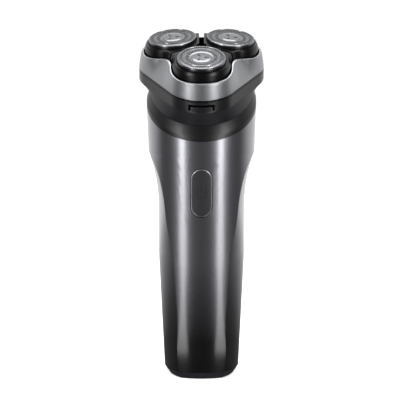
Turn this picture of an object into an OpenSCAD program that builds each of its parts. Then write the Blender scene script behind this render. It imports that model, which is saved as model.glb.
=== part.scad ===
// Rotary electric shaver with three floating cutters and a flip-open head.
// Millimetres. +Z is up, the front (power button side) faces -Y, and the origin is the middle of
// the flat base that the shaver stands on. Head parts are drawn in a tilted head frame: its origin
// is where the head parts from the neck, its z is the drive axis, and its x is the body's x.

/* [Body sleeve] */
// Height of the sleeve's top edge at its sides
body_height = 125.8; // [110:0.1:150]
// Radius of the sleeve at its top edge
body_top_r = 25.4; // [24:0.1:30]
// Radius of the sleeve's front and back at the base
body_base_r = 22.4; // [22:0.1:25]
// Half width across the scooped sides at the waist
waist_half = 19.95; // [19:0.05:22]
// Half width across the scooped sides at the base
base_half = 17.3; // [17:0.1:20]
// Distance from the axis to the far centre of each side's curve
side_centre = 16; // [12:1:20]
// Radius of the scoop that runs out into the round top
scoop_r = 76; // [60:1:95]
// Wall of the sleeve
sleeve_wall = 2.2; // [1.6:0.1:2.6]
// Bevel around the base
base_bevel = 2.2; // [1:0.1:3]

/* [Collar] */
// Slope of the collar across the front of the body, in degrees
collar_slope = 31; // [24:1:34]
// Straight lip at the foot of the collar
lip_height = 2.3; // [1:0.1:3]
// Height of the collar's bevel above the lip
bevel_height = 4.0; // [3:0.1:5]
// How far the collar's bevel steps in to the neck
neck_step = 1.75; // [1.2:0.05:2.2]

/* [Head] */
// Forward tilt of the head, in degrees
head_tilt = 20; // [16:0.5:23]
// Height of the head's parting plane above the sleeve's top edge
head_rise = 13.7; // [13:0.1:16]
// How far the head sits forward of the body's axis
head_forward = 3; // [1:0.1:4]
// Distance from the head's axis to each lobe's centre
lobe_spread = 15.2; // [15:0.1:17]
// Radius of each lobe at the parting plane
lobe_r = 15.8; // [15.6:0.1:17]
// Height of the neck's upright band
band_height = 5.05; // [4.9:0.05:6]
// Wall of the band and of the neck
band_wall = 1.5; // [1.3:0.1:1.8]
// Height of the trim ring's top edge over a lobe
trim_lobe_height = 8.6; // [8:0.1:9]
// Height of the trim ring's top edge between lobes
trim_valley_height = 11.2; // [10:0.1:11.5]
// Furthest that the head opens, in degrees
head_open_max = 105; // [90:1:110]

/* [Cutters] */
// Distance from the head's axis to the middle of each cap's face
cutter_spread = 15.5; // [15.3:0.1:16]
// Height of each cap's face above the parting plane
cutter_rise = 15.4; // [15.2:0.1:17]
// Outward lean of each cutter, in degrees
cutter_lean = 5; // [3:0.5:6]
// Diameter of a cap
cap_d = 22.2; // [21:0.1:22.4]
// How far a cap can be pressed into its pod
cap_travel = 1.0; // [0.6:0.1:1.2]
// Slots in a cap's outer track
cap_slots = 30; // [20:1:36]
// Blades on a rotor
blade_count = 15; // [9:1:18]

/* [Drive] */
// Module of the gears
gear_module = 0.5; // [0.48:0.01:0.52]
// Teeth on the motor pinion
pinion_teeth = 21; // [18:1:24]
// Teeth on each driven gear
gear_teeth = 39; // [36:1:42]
// Diameter of the motor
motor_d = 20.4; // [18:0.1:21]
// Length of the motor can
motor_len = 25; // [22:0.5:28]
// Diameter of the motor shaft
shaft_d = 2; // [1.5:0.1:2.5]
// Outer diameter of the tube that carries a driven gear
drive_tube_d = 4.6; // [4.4:0.1:5]
// Diameter of a drive pin
pin_d = 2.0; // [1.5:0.1:2.2]

/* [Power] */
// Diameter of the cell
cell_d = 14.2; // [12:0.1:14.6]
// Length of the cell
cell_len = 50; // [40:1:55]
// Width of the power key
key_w = 10; // [8:0.1:11]
// Height of the power key
key_h = 22; // [18:0.1:26]
// Height of the power key's middle above the base
key_z = 87; // [80:0.5:92]
// Travel of the power key
key_travel = 0.5; // [0.3:0.05:0.6]
// Gap around the power key
key_gap = 0.25; // [0.15:0.05:0.4]
// Thickness of a circuit board
board_t = 1.2; // [0.8:0.1:1.6]
// Width of the charging socket's shell
usb_w = 8.94; // [8.9:0.01:9]
// Height of the charging socket's shell
usb_h = 3.2; // [3.1:0.01:3.3]

/* [Fits] */
// Running clearance of a shaft or pin in its bore
run_gap = 0.05; // [0.02:0.01:0.1]
// Gap between parts that move past each other
move_gap = 0.35; // [0.3:0.05:0.5]
// Gap between two pods
seam_gap = 0.9; // [0.7:0.1:1.4]

/* [Hidden] */

side_angle = [-90, 30, 150];     // directions of the front, right and left cutters
$fn = 48;
around = 72;            // points around a swept shell
big = 200;              // larger than the shaver in every direction
cut = 1;                // how far a cutting shape runs past what it cuts
weld = 0.1;             // how far joined shapes run into each other
seat_gap = 0.05;        // between pieces that are screwed or pressed face to face
slip_gap = 0.1;         // between pieces that are pushed together
edge_break = 0.3;       // small bevel on an outer edge

// Screws: the two long ones through the bottom cap, and the small ones in the head
screw_r = 1.0;
screw_head_r = 2.1;
screw_boss_r = 2.6;
screw_len = 14.7;
hex_r = 1.0;
small_screw_r = 0.75;
small_head_r = 1.6;
small_head_h = 0.65;
head_gap = 0.1;         // around and over a screw's head

// Body levels
neck_base_r = body_top_r - neck_step;
neck_rise = lip_height + bevel_height;  // from the sleeve's edge to the collar's top
cap_top = 3.2;                          // the sleeve stands on the bottom cap here
waist_low = body_height * 0.445;        // the base's taper ends here
waist_high = body_height * 0.62;        // the scoop starts here
collar_flat_r = 48.5;                   // the collar levels off along this radius
plug_low = cap_top + 1.2;               // the plug is hollow above this level
plug_top = 8;                           // top of the bottom cap's plug
groove_low = 5;                         // the gasket's groove
groove_high = 6.2;
spigot_gap = 0.8;                       // between the sleeve and the collar's spigot
spigot_wall = 1.1;
spigot_r = body_top_r - sleeve_wall - spigot_gap;
spigot_depth = 4;
chassis_low = plug_top + 4;
chassis_top = body_height - 25.8;
chassis_x = cell_d / 2 + 2.3;
chassis_y = cell_d / 2 + 2.1;
chassis_wall = 1.8;
shelf_t = 1.8;                          // the shelves that hold the cell's ends
shelf_half = chassis_x - chassis_wall - slip_gap;
boss_top = 17;
tab_t = 0.3;
tab_half = 2;
nub_h = 1;                              // the cell's raised end
cell_low = 32;
board_y = -13.2;                        // front face of the main board
board_half = 7.4;
usb_low = 2.2;
usb_top = 9.2;
usb_wall = 0.3;
recess_w = 12.4;                        // the recess that takes a plug's overmould
recess_h = 6.6;
recess_top = 2.6;
flange_t = 0.8;                         // flange that keeps the key in
seal_t = 0.85;
flange_lip = 1.2;                       // how far the flange stands out round the key
// Front of the key's flange, just behind the sleeve's inner wall at the flange's lower corners
key_flange = seat_gap - sqrt(pow(round_r(key_z - key_h / 2 - flange_lip) - sleeve_wall, 2)
                             - pow(key_w / 2 + flange_lip, 2));
seal_y = key_flange + flange_t + key_travel + slip_gap;
stem_r = 1.6;
stem_end = board_y - 4.15;              // the key's stem meets the switch's button here
switch_depth = 3.1;
switch_half = 3;
actuator_r = 1.7;
screw_x = 10;                           // the bottom screws' distance from the axis

// Head levels, measured along the head's axis from the parting plane
head_z = body_height + head_rise;
lip_low = 0.1;
trim_low = 0.95;
carrier_low = 2.2;
carrier_top = 3.5;
deck_top = -0.8;
deck_low = -2.2;
gear_top = -2.5;
gear_low = -4.6;
plate_top = -5.0;
plate_low = -6.4;
ledge_r = 19.6;
ledge_t = 1.5;
plate_r = 21.7;
boss_spread = 18.4;
tube_r = drive_tube_d / 2;
tube_top = -1.25;
tube_low = -11.5;
tube_floor = 0.8;
deck_gap = 0.15;        // around the deck, inside the band
deck_r = lobe_r - band_wall - deck_gap;
deck_step = 0.5;        // thickness of the deck's seal
motor_top = plate_low - seat_gap;
motor_low = motor_top - motor_len;
motor_cap_low = motor_low - 2;
nose_r = 3;             // the motor's raised nose
motor_screw_out = 6.5;
brush_out = 5;
brush_low = motor_cap_low - 0.25;
lead_r = 0.6;
frame_bore = lobe_r - 3.9;       // lobe radius inside the head's frame
hinge_r = 0.8;
knuckle_r = 1.7;
knuckle_half = 3.75;
ear_out = 8.5;
ear_root = 0.9;         // how far an ear reaches into the band
hinge_lift = 1.3;       // top of the ears' webs above the hinge pin
hinge_out = lobe_spread / 2 + lobe_r + knuckle_r + 0.1;
hinge_rise = -1.6;

// The latch's pocket at the front of the head, as distances forward of the head's axis
band_front = lobe_spread + lobe_r;
latch_travel = 0.7;
latch_half = 5.55;
latch_low = -4.15;
latch_top = -2.3;
window_half = latch_half + 0.5;
window_low = latch_low - 0.05;
window_top = -1.2;
well_front = band_front - 4.8;          // the well behind the latch
arm_half = 4.2;
hook_half = 3.4;
hook_top = -1.65;
tooth_low = -3.05;
tooth_t = 0.6;
tooth_half = hook_half + 0.2;
tooth_front = lobe_spread + sqrt(pow(lobe_r - band_wall, 2) - pow(tooth_half, 2)) - slip_gap;

// Cutters. z is 0 on a cap's face in a cutter's own frame
cap_r = cap_d / 2;
cap_wall = 0.5;
rim_bore_r = cap_r + 0.25;
cavity_r = cap_r + 0.85;
pod_r = cavity_r + 1.25;
pod_rim_r = cap_r + 1.05;
pod_top = -1.7;
rim_low = -3.4;
flange_r = cavity_r - 0.2;
flange_top = rim_low - slip_gap;
flange_low = flange_top - 0.6;
blade_half = 0.2;
slot_half = 0.25;
spindle_r = 0.9;
rotor_top = -2.7;
rotor_low = rotor_top - 0.5;
hub_r = 4.0;
hub_h = 1.4;
hub_floor = 0.4;
hub_low = rotor_low - hub_h;
socket_r = 2.9;
retainer_t = 0.8;
retainer_top = hub_low - cap_travel - 0.5;
retainer_low = retainer_top - retainer_t;
pod_low = retainer_low - 1.5;
// Inner and outer radius of each slotted track
tracks = [[cap_r - 2.4, cap_r - 0.9], [cap_r - 5.3, cap_r - 3.7]];
pivot_r = 0.8;
pivot_rise = 5.8;                       // the pods tilt about this level
pivot_spread = cutter_spread - (cutter_rise - pivot_rise) * tan(cutter_lean);
post_y = 10.5;                          // middle of a pivot post, along the pivot
lug_y = 12;                             // middle of a pod's lug
lug_half = 0.6;
pivot_len = lug_y - post_y + lug_half;
hollow_r = 10;                          // radius of the hollow between two pods
post_half = 0.65;
rear_gap = 2.3;                         // gap between the two rear pods

drive_spread = gear_module * (pinion_teeth + gear_teeth) / 2;
pin_tip = cutter_rise + rotor_low - 0.8;
pin_low = -4.8;
key_way = 0.3;          // half thickness of the pin's driving blade
spring_turns = 6;
spring_wire = 0.16;
trim_r = cap_r + 3.5;   // lobe radius of the trim ring's top edge
trim_wall = 1;

// ---------------------------------------------------------------- places
module in_head() translate([0, -head_forward, head_z]) rotate([head_tilt, 0, 0]) children();
module at_side(i) in_head() rotate([0, 0, side_angle[i]]) children();
module at_drive(i) in_head()
    translate(drive_spread * [cos(side_angle[i]), sin(side_angle[i]), 0]) children();
module at_cutter(i)
    at_side(i) translate([cutter_spread, 0, cutter_rise]) rotate([0, cutter_lean, 0]) children();
module at_valleys(spread) for (a = side_angle) rotate([0, 0, a + 60]) translate([spread, 0, 0])
    children();

function head_point(p) = [
    p.x,
    -head_forward + p.y * cos(head_tilt) - p.z * sin(head_tilt),
    head_z + p.y * sin(head_tilt) + p.z * cos(head_tilt)
];

// ---------------------------------------------------------------- outlines
function mix(a, b, w) = a * (1 - w) + b * w;
function polar(r, a, z) = [r * cos(a), r * sin(a), z];
function step_up(w) = let (v = min(1, max(0, w))) v * v * (3 - 2 * v);

// Angle from the nearest lobe's direction, from 0 to 60
function fold(a) = abs(((a + 90 + 60 + 720) % 120) - 60);

// Distance from the head's axis to a lobe's round edge, and to the flat between two lobes
function to_lobe(r, t) = lobe_spread * cos(t) + sqrt(max(0, r * r - pow(lobe_spread * sin(t), 2)));
function to_flat(r, t) = (lobe_spread / 2 + r) / cos(60 - t);
function flat_from(r) = atan2(r * sin(60), lobe_spread + r * cos(60));
function triangle_edge(r, a) = let (t = fold(a)) t < flat_from(r) ? to_lobe(r, t) : to_flat(r, t);

// The same outline with a hollow between the lobes
function hollow_at(r) =
    lobe_spread / 2 + sqrt(pow(r + hollow_r, 2) - pow(lobe_spread * sin(60), 2));
function hollow_from(r) = let (m = hollow_at(r), w = r / (r + hollow_r))
    atan2(m * sin(60) * w, mix(lobe_spread, m * cos(60), w));
function to_hollow(r, t) = let (m = hollow_at(r), u = 60 - t)
    m * cos(u) - sqrt(max(0, hollow_r * hollow_r - pow(m * sin(u), 2)));
function lobed_edge(r, a) = let (t = fold(a)) t < hollow_from(r) ? to_lobe(r, t) : to_hollow(r, t);

// The collar's line seen from the side: straight at the front, levelling off towards the back
function collar_line(y) = y < 0
    ? y * tan(collar_slope)
    : let (s = sin(collar_slope) - y / collar_flat_r)
        collar_flat_r * (sqrt(1 - s * s) - cos(collar_slope));
function collar_point(r, a, z) = [r * cos(a), r * sin(a), body_height + z + collar_line(r * sin(a))];

// ---------------------------------------------------------------- shapes
// A closed tube through rings of points, the last ring joined to the first
module swept_ring(rings) {
    m = len(rings);
    n = len(rings[0]);
    polyhedron(
        points = [for (r = rings) for (p = r) p],
        faces = [
            for (i = [0:m - 1]) for (j = [0:n - 1])
                let (a = i * n + j, b = i * n + (j + 1) % n,
                     c = ((i + 1) % m) * n + (j + 1) % n, d = ((i + 1) % m) * n + j)
                for (f = [[a, c, b], [a, d, c]]) f
        ]
    );
}
function ring_angles() = [for (j = [0:around - 1]) j * 360 / around];

// A round wire along points, with flat ends
module swept_wire(path, r, flats = 6) {
    n = len(path);
    ring = [
        for (i = [0:n - 1])
            let (
                t = path[min(i + 1, n - 1)] - path[max(i - 1, 0)],
                w = t / norm(t),
                u0 = cross(w, abs(w.z) > 0.9 ? [1, 0, 0] : [0, 0, 1]),
                u = u0 / norm(u0),
                v = cross(w, u)
            )
            for (j = [0:flats - 1])
                path[i] + r * (cos(j * 360 / flats) * u + sin(j * 360 / flats) * v)
    ];
    polyhedron(
        points = ring,
        faces = concat(
            [[for (j = [0:flats - 1]) j]],
            [[for (j = [flats - 1:-1:0]) (n - 1) * flats + j]],
            [
                for (i = [0:n - 2]) for (j = [0:flats - 1])
                    let (a = i * flats + j, b = i * flats + (j + 1) % flats)
                    for (f = [[a, b + flats, b], [a, a + flats, b + flats]]) f
            ]
        )
    );
}

module disc(r, low, high) translate([0, 0, low]) cylinder(r = r, h = high - low);
module block(low, high) translate(low) cube(high - low);
module along_y(r, near, far) translate([0, far, 0]) rotate([90, 0, 0]) cylinder(r = r, h = far - near);
module along_x(r, half) translate([-half, 0, 0]) rotate([0, 90, 0]) cylinder(r = r, h = 2 * half);

// A rounded triangle standing on the head's axis
module triangle_block(r, low, high) translate([0, 0, low]) linear_extrude(high - low)
    polygon([for (a = ring_angles()) triangle_edge(r, a) * [cos(a), sin(a)]]);

// A slot with round ends. The upright one is pushed through along y
module upright_pill(w, h, near, far) {
    for (s = [-1, 1]) translate([0, 0, s * (h - w) / 2]) along_y(w / 2, near, far);
    block([-w / 2, near, -(h - w) / 2], [w / 2, far, (h - w) / 2]);
}
module flat_pill(w, h, low, high) {
    for (s = [-1, 1]) translate([s * (w - h) / 2, 0, 0]) disc(h / 2, low, high);
    block([-(w - h) / 2, -h / 2, low], [(w - h) / 2, h / 2, high]);
}

// Body outline: round front and back, with a scooped curve on each side
function bevel_at(z) = base_bevel * max(0, 1 - z / cap_top);
function round_r(z) = body_base_r - bevel_at(z)
    + (body_top_r - body_base_r) * pow(min(1, max(0, z) / body_height), 1.6);
function side_half(z) =
    z < waist_low ? mix(base_half, waist_half, max(0, z - cap_top) / (waist_low - cap_top)) - bevel_at(z)
    : z < waist_high ? waist_half
    : waist_half + scoop_r - sqrt(max(1, scoop_r * scoop_r - pow(z - waist_high, 2)));
round_levels = concat([0, cap_top], [for (i = [1:7]) i * body_height / 7]);
side_levels = concat([0, cap_top, waist_low, waist_high],
                     [for (i = [1:6]) waist_high + i * 0.11 * scoop_r]);
form_top = body_height + 25;

module spun(profile) rotate_extrude($fn = 96)
    polygon(concat([[0, profile[0].y]], profile, [[0, profile[len(profile) - 1].y]]));
module spun_to_top(profile) let (last = profile[len(profile) - 1])
    spun(concat(profile, [[last.x, form_top]]));

module body_form(inset = 0) {
    side = [for (z = side_levels) [side_centre + side_half(z) - inset, z]];
    intersection() {
        spun_to_top([for (z = round_levels) [round_r(z) - inset, z]]);
        translate([-side_centre, 0, 0]) spun_to_top(side);
        translate([side_centre, 0, 0]) spun_to_top(side);
    }
}
module slice(low, high) intersection() {
    children();
    block([-big, -big, low], [big, big, high]);
}

// Everything under the collar's line, z above the sleeve's edge
module under_collar(z) rotate([90, 0, 90]) translate([0, 0, -big / 2]) linear_extrude(big)
    polygon(concat(
        [[-40, -1]],
        [for (y = [-40, 0]) [y, body_height + z + collar_line(y)]],
        [for (i = [1:12]) let (y = i * 2.3) [y, body_height + z + collar_line(y)]],
        [[40, body_height + z + collar_line(27.6)], [40, -1]]
    ));

// Gear outline with straight flanks
function gear_points(teeth) = let (r = gear_module * teeth / 2, p = 360 / teeth)
    [for (i = [0:teeth - 1]) for (q = [
        [r - 1.2 * gear_module, -0.34], [r, -0.235], [r + 0.95 * gear_module, -0.12],
        [r + 0.95 * gear_module, 0.12], [r, 0.235], [r - 1.2 * gear_module, 0.34]
    ]) q.x * [cos((i + q.y) * p), sin((i + q.y) * p)]];

// ---------------------------------------------------------------- body
module body_sleeve() color("#3a3d42") difference() {
    intersection() {
        body_form();
        under_collar(0);
        block([-big, -big, cap_top], [big, big, big]);
    }
    body_form(inset = sleeve_wall);
    translate([0, 0, key_z])
        upright_pill(key_w + 2 * key_gap, key_h + 2 * key_gap, -big / 2, 0);
}

module collar_ring() color("#0c0d0f") swept_ring([
    for (q = [
        [body_top_r, slip_gap], [body_top_r, lip_height], [neck_base_r, neck_rise],
        [neck_base_r - band_wall, neck_rise], [spigot_r - spigot_wall, lip_height - edge_break],
        [spigot_r - spigot_wall, -spigot_depth], [spigot_r, -spigot_depth], [spigot_r, slip_gap]
    ]) [for (a = ring_angles()) collar_point(q.x, a, q.y)]
]);

module neck_shell() color("#101113") difference() {
    union() {
        swept_ring(concat(
            [[for (a = ring_angles()) collar_point(neck_base_r, a, neck_rise + seat_gap)]],
            [
                for (q = [[lobe_r, -band_height], [lobe_r, -edge_break], [lobe_r - edge_break, 0],
                          [lobe_r - band_wall, 0], [lobe_r - band_wall, gear_low - slip_gap]])
                    [for (a = ring_angles()) head_point(polar(triangle_edge(q.x, a), a, q.y))]
            ],
            [for (q = [[plate_r + deck_gap, motor_top], [ledge_r, motor_top],
                       [ledge_r, motor_top - ledge_t]])
                [for (a = ring_angles()) head_point(polar(q.x, a, q.y))]],
            [[for (a = ring_angles()) collar_point(neck_base_r - band_wall, a, neck_rise + seat_gap)]]
        ));
        in_head() for (s = [-1, 1]) {
            translate([s * (knuckle_half + ear_out + move_gap) / 2, hinge_out, hinge_rise])
                along_x(knuckle_r, (ear_out - knuckle_half - move_gap) / 2);
            block([min(s * (knuckle_half + move_gap + weld), s * (ear_out - weld)),
                   hinge_out - knuckle_r - ear_root, hinge_rise - knuckle_r + edge_break],
                  [max(s * (knuckle_half + move_gap + weld), s * (ear_out - weld)),
                   hinge_out, hinge_rise + hinge_lift]);
        }
    }
    in_head() {
        translate([0, hinge_out, hinge_rise]) along_x(hinge_r + run_gap, ear_out + cut);
        block([-window_half, -band_front - cut, window_low],
              [window_half, -band_front + 2.4, window_top]);
    }
}

module bottom_cap() color("#1b1c1f") difference() {
    union() {
        slice(0, cap_top) body_form();
        difference() {
            slice(cap_top, plug_top) body_form(inset = sleeve_wall + slip_gap);
            slice(groove_low, groove_high) difference() {
                body_form();
                body_form(inset = sleeve_wall + 1);
            }
            slice(plug_low, plug_top + cut) body_form(inset = sleeve_wall + 2.2);
        }
        for (s = [-1, 1]) translate([s * screw_x, 0, 0]) disc(screw_boss_r, plug_low - weld, plug_top);
    }
    for (s = [-1, 1]) translate([s * screw_x, 0, 0]) {
        disc(screw_head_r + head_gap, -cut, 1.6);
        disc(screw_r + 2 * head_gap, 0, plug_top + cut);
    }
    flat_pill(recess_w, recess_h, -cut, recess_top);
    flat_pill(usb_w + 2 * slip_gap, usb_h + 2 * slip_gap, -cut, plug_top + cut);
}

module bottom_gasket() color("#55585c")
    slice(groove_low + slip_gap, groove_high - slip_gap) difference() {
        body_form(inset = sleeve_wall + 0.02);
        body_form(inset = sleeve_wall + 0.95);
    }

module bottom_screws() color("#b9bcc0") for (s = [-1, 1]) translate([s * screw_x, 0, 0])
    difference() {
        union() {
            disc(screw_head_r, edge_break, 1.6);
            disc(screw_r, 1.6 - weld, edge_break + screw_len);
        }
        translate([0, 0, edge_break - weld]) cylinder(r = hex_r, h = 0.9, $fn = 6);
    }

// ---------------------------------------------------------------- inside the body
module chassis_half(s) {
    face = s * (chassis_y - chassis_wall);
    block([-chassis_x, min(face, s * chassis_y), chassis_low],
          [chassis_x, max(face, s * chassis_y), chassis_top]);
    for (t = [-1, 1]) block(
        [min(t * (chassis_x - chassis_wall), t * chassis_x), min(0, s * chassis_y), chassis_low],
        [max(t * (chassis_x - chassis_wall), t * chassis_x), max(0, s * chassis_y), chassis_top]);
}

module chassis_back() color("#2c2f33") difference() {
    union() {
        chassis_half(1);
        for (z = [cell_low - tab_t - shelf_t - 0.5, cell_low + cell_len + nub_h + tab_t + 0.5])
            block([-shelf_half, -chassis_y + chassis_wall + slip_gap, z],
                  [shelf_half, chassis_y - chassis_wall + weld, z + shelf_t]);
        for (s = [-1, 1]) translate([s * screw_x, 0, 0]) disc(screw_boss_r, plug_top, boss_top);
    }
    for (s = [-1, 1]) translate([s * screw_x, 0, 0])
        disc(screw_r + run_gap, plug_top - cut, screw_len + 2 * edge_break + 0.2);
}

module chassis_front() color("#34373c") difference() {
    union() {
        difference() {
            chassis_half(-1);
            for (s = [-1, 1]) translate([s * screw_x, 0, 0])
                disc(screw_boss_r + edge_break, plug_top - cut, boss_top + edge_break);
        }
        for (x = [-1, 1]) for (z = [chassis_low + 10, chassis_top - 4]) translate([x * 6, 0, z])
            along_y(1.3, board_y + board_t, -chassis_y + weld);
        for (x = [-1, 1]) block(
            [min(x * (board_half + 2 * slip_gap), x * chassis_x), seal_y + seal_t, key_z - 6],
            [max(x * (board_half + 2 * slip_gap), x * chassis_x), -chassis_y + weld, key_z + 6]);
    }
    for (z = [cell_low - tab_t, cell_low + cell_len + nub_h])
        block([-tab_half - edge_break, -chassis_y - cut, z - edge_break],
              [tab_half + edge_break, -chassis_y + chassis_wall + cut, z + tab_t + edge_break]);
}

module battery_cell() color("#2f6f4a") {
    disc(cell_d / 2, cell_low, cell_low + cell_len);
    disc(cell_d / 5, cell_low + cell_len - weld, cell_low + cell_len + nub_h);
}

module battery_tabs() color("#c8cacc") for (z = [cell_low - tab_t, cell_low + cell_len + nub_h])
    block([-tab_half, board_y + board_t, z], [tab_half, tab_half, z + tab_t]);

module main_board() color("#1d5a3a")
    block([-board_half, board_y, chassis_low - 3], [board_half, board_y + board_t, chassis_top]);

// Chips and other parts on the board: middle across, middle up, width, height, thickness
chips = [[0, 62, 5, 5, 1.0], [-3.6, 48, 3, 4, 1.1], [3.4, 50, 4, 4, 2.0], [0, 36, 6, 3, 1.4],
         [4.2, 72, 3, 2, 0.8], [-4.2, 74, 2, 3, 0.8], [0, 24, 4, 5, 1.2]];
module board_components() color("#18191b") for (q = chips)
    block([q[0] - q[2] / 2, board_y - q[4], q[1] - q[3] / 2],
          [q[0] + q[2] / 2, board_y, q[1] + q[3] / 2]);

module power_switch() color("#b4b6b8") difference() {
    block([-switch_half, board_y - switch_depth, key_z - switch_half],
          [switch_half, board_y, key_z + switch_half]);
    translate([0, 0, key_z])
        along_y(actuator_r + run_gap, board_y - switch_depth - cut, board_y - edge_break);
}

module switch_actuator() color("#d8d6cf") translate([0, 0, key_z])
    along_y(actuator_r, stem_end + seat_gap, board_y - edge_break - key_travel - slip_gap);

module indicator_led() color("#e8ecef")
    block([-0.8, board_y - 0.7, key_z - 15], [0.8, board_y, key_z - 14]);

module usb_board() color("#1d5a3a")
    block([-6.6, board_y + board_t, usb_top], [6.6, 5, usb_top + board_t]);

module usb_socket() color("#c3c6c9") {
    difference() {
        flat_pill(usb_w, usb_h, usb_low, usb_top);
        flat_pill(usb_w - 2 * usb_wall, usb_h - 2 * usb_wall, usb_low - cut, usb_top - 0.8);
    }
    block([-3.35, -0.35, usb_low + 1], [3.35, 0.35, usb_top - 0.6]);
}

module motor_leads() color("#a32b2b") for (s = [-1, 1]) swept_wire([
    head_point([s * brush_out, 0, brush_low]),
    head_point([s * brush_out, 0, brush_low - 0.9]),
    head_point([s * brush_out, -1.4, brush_low - 1.9]),
    [s * brush_out, 1, chassis_top + 2.6],
    [s * brush_out, -6, chassis_top + 2.2],
    [s * brush_out, -9.6, chassis_top + 1.2],
    [s * brush_out, board_y + board_t + lead_r + 0.2, chassis_top - 1],
    [s * brush_out, board_y + board_t + lead_r + 0.1, chassis_top - 2.2]
], lead_r);

// ---------------------------------------------------------------- drive
module motor_can() color("#9ea2a6") in_head() difference() {
    union() {
        disc(motor_d / 2, motor_low, motor_top);
        disc(nose_r, motor_top - weld, plate_top - edge_break);
    }
    disc(shaft_d / 2 + run_gap, motor_low - cut, 0);
    for (s = [-1, 1]) translate([s * motor_screw_out, 0, 0])
        disc(small_screw_r + run_gap, motor_top - 4, 0);
}

module motor_end_cap() color("#202226") in_head() difference() {
    union() {
        disc(motor_d / 2 - 0.4, motor_cap_low, motor_low);
        for (s = [-1, 1]) translate([s * brush_out, 0, 0]) disc(1.1, brush_low, motor_cap_low + weld);
    }
    disc(shaft_d / 2 + run_gap, motor_low - 1.2, 0);
}

module motor_screws() color("#b9bcc0") in_head() for (s = [-1, 1])
    translate([s * motor_screw_out, 0, 0]) {
        disc(small_head_r, plate_top - head_gap - small_head_h, plate_top - head_gap);
        disc(small_screw_r, motor_top - 3.5, plate_top - head_gap - weld);
    }

module motor_shaft() color("#d0d2d4") in_head()
    disc(shaft_d / 2, motor_low - 1, gear_top + 0.15);

module motor_pinion() color("#c9a24a") in_head() difference() {
    translate([0, 0, gear_low]) rotate([0, 0, side_angle[0]]) linear_extrude(gear_top - gear_low)
        polygon(gear_points(pinion_teeth));
    disc(shaft_d / 2, gear_low - cut, 0);
}

module at_drive_axes() for (a = side_angle) rotate([0, 0, a]) translate([drive_spread, 0, 0])
    children();

module gear_plate() color("#8c9094") in_head() difference() {
    union() {
        disc(plate_r, plate_low, plate_top);
        at_valleys(boss_spread) disc(screw_boss_r, plate_low, deck_low);
    }
    disc(nose_r + run_gap, plate_low - cut, plate_top + cut);
    at_drive_axes() disc(tube_r + run_gap, plate_low - cut, plate_top + cut);
    at_valleys(boss_spread) disc(small_screw_r + run_gap, plate_low - cut, 0);
    for (s = [-1, 1]) translate([s * motor_screw_out, 0, 0]) {
        disc(small_screw_r + run_gap, plate_low - cut, plate_top);
        disc(small_head_r + head_gap, plate_top - head_gap - small_head_h, plate_top + cut);
    }
}

module latch_well(half, depth) block([-half, -big, -big], [half, -well_front + depth, cut]);

module drive_deck() color("#26282b") in_head() difference() {
    union() {
        triangle_block(deck_r, deck_low, deck_top);
        intersection() {
            triangle_block(deck_r, gear_low, deck_top);
            latch_well(arm_half + 1.8, 0.7);
        }
    }
    latch_well(arm_half + 1, 0);
    at_drive_axes() {
        disc(tube_r + run_gap, deck_low - cut, tube_top + seat_gap);
        disc(pin_d / 2 + edge_break, deck_low, 0);
    }
    at_valleys(boss_spread) {
        disc(1.0, deck_low - cut, 0);
        disc(small_head_r + head_gap, deck_top - head_gap - small_head_h, 0);
    }
}

module deck_seal() color("#3c3f43") in_head() difference() {
    triangle_block(deck_r, deck_top, deck_top + deck_step);
    latch_well(arm_half + 1.8, 0.7);
    difference() {
        triangle_block(deck_r - 1.35, deck_top - cut, deck_top + cut);
        latch_well(arm_half + 3.2, 2.1);
    }
}

module deck_screws() color("#b9bcc0") in_head() at_valleys(boss_spread) {
    disc(small_head_r, deck_top - head_gap - small_head_h, deck_top - head_gap);
    disc(small_screw_r, plate_low + 0.2, deck_top - head_gap - weld);
}

module shaft_seals() color("#6a6d71") in_head() at_drive_axes() translate([0, 0, deck_top])
    difference() {
        union() {
            disc(3.4, 0, deck_step);
            translate([0, 0, deck_step - weld]) cylinder(r1 = 2.9, r2 = 1.8, h = 1.6);
        }
        disc(pin_d / 2 + run_gap, -cut, 3);
    }

module drive_gear(i) color("#d9d4c5") at_drive(i) difference() {
    union() {
        translate([0, 0, gear_low]) rotate([0, 0, side_angle[i]])
            linear_extrude(gear_top - gear_low) polygon(gear_points(gear_teeth));
        disc(tube_r, tube_low, tube_top);
    }
    disc(pin_d / 2 + run_gap, tube_low + tube_floor, 0);
    block([-pin_d / 2 - 0.55, -key_way - run_gap, pin_low - cap_travel - 0.4],
          [pin_d / 2 + 0.55, key_way + run_gap, 0]);
}

module drive_pin(i) color("#d0d2d4") at_drive(i) {
    disc(pin_d / 2, pin_low, pin_tip);
    block([-pin_d / 2 - 0.5, -key_way, pin_low], [pin_d / 2 + 0.5, key_way, pin_low + 1.6]);
    block([-2.2, -0.5, pin_tip - 0.9], [2.2, 0.5, pin_tip]);
}

module drive_spring(i) color("#a9adb0") at_drive(i) swept_wire([
    for (k = [0:spring_turns * 12])
        polar(pin_d / 2 - spring_wire - 0.02, k * 30,
              mix(tube_low + tube_floor + spring_wire, pin_low - spring_wire, k / (spring_turns * 12)))
], spring_wire, 5);

// ---------------------------------------------------------------- controls
module power_button() color("#1f2124") {
    intersection() {
        body_form();
        translate([0, 0, key_z]) upright_pill(key_w, key_h, -big / 2, key_flange + weld);
    }
    translate([0, 0, key_z]) {
        upright_pill(key_w + 2 * flange_lip, key_h + 2 * flange_lip, key_flange, key_flange + flange_t);
        along_y(stem_r, key_flange + weld, stem_end);
    }
}

module button_seal() color("#4a4d51") translate([0, 0, key_z]) difference() {
    upright_pill(key_w + 7, key_h + 3, seal_y, seal_y + seal_t);
    along_y(stem_r + run_gap, -big / 2, 0);
}

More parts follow.
